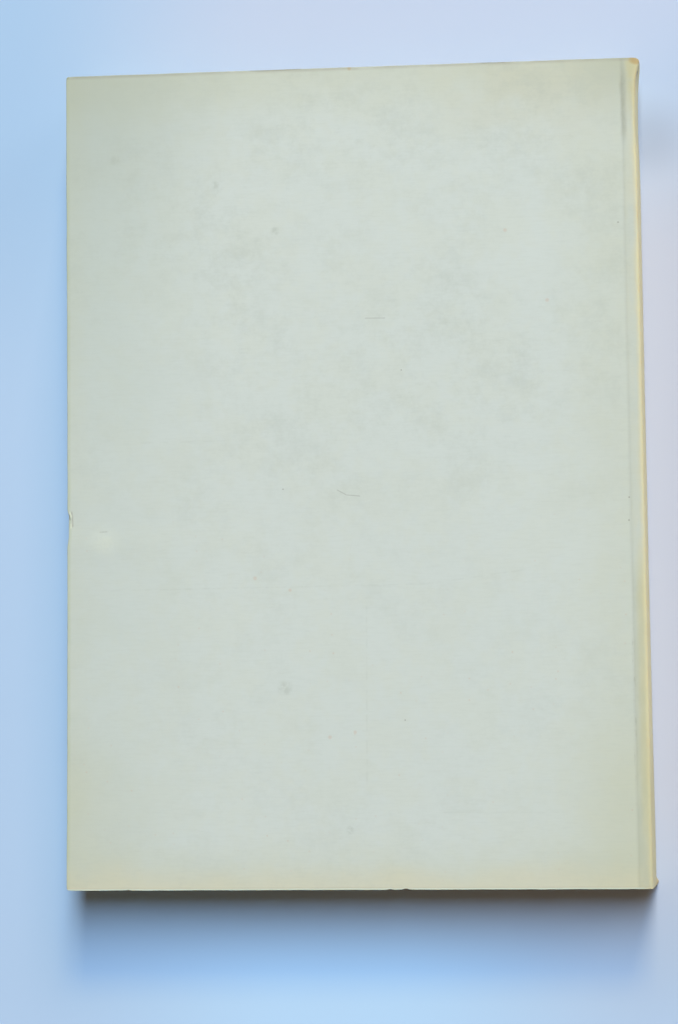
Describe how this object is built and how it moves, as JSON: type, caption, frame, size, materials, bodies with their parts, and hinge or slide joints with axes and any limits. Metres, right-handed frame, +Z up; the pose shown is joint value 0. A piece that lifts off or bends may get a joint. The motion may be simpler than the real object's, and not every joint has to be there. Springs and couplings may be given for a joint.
{
  "type": "paperback book",
  "caption": "Closed paperback with a creased card cover, a leaning rounded spine and a trimmed block of leaves; both covers swing open at their creases.",
  "frame": {"origin": "centre of the bottom of the closed book's bounding box, on the surface it lies on", "axes": "+Y towards the head of the book, +X towards the spine, +Z up out of the back cover"},
  "size_m": [0.17, 0.24, 0.02],
  "materials": {
    "cover_card": "matt uncoated pale grey-green card, yellowed along its edges",
    "spine_card": "the same card, sunned yellow along the spine",
    "pages": "matt aged cream paper, trimmed edges",
    "adhesive": "dried amber binding glue"
  },
  "bodies": {
    "book_block": {"text_block": "pages", "spine_adhesive": "adhesive", "cover_spine": "spine_card"},
    "back_cover": {"back_cover": "cover_card"},
    "front_cover": {"front_cover": "cover_card"}
  },
  "joints": [
    {"name": "back_cover_hinge", "type": "hinge", "parent": "book_block", "child": "back_cover", "pos_m": [0.0791, 0, 0.02], "axis": [0, 1, 0], "range_deg": [0, 180]},
    {"name": "front_cover_hinge", "type": "hinge", "parent": "book_block", "child": "front_cover", "pos_m": [0.0811, 0, 0], "axis": [0, -1, 0], "range_deg": [0, 180]}
  ]
}
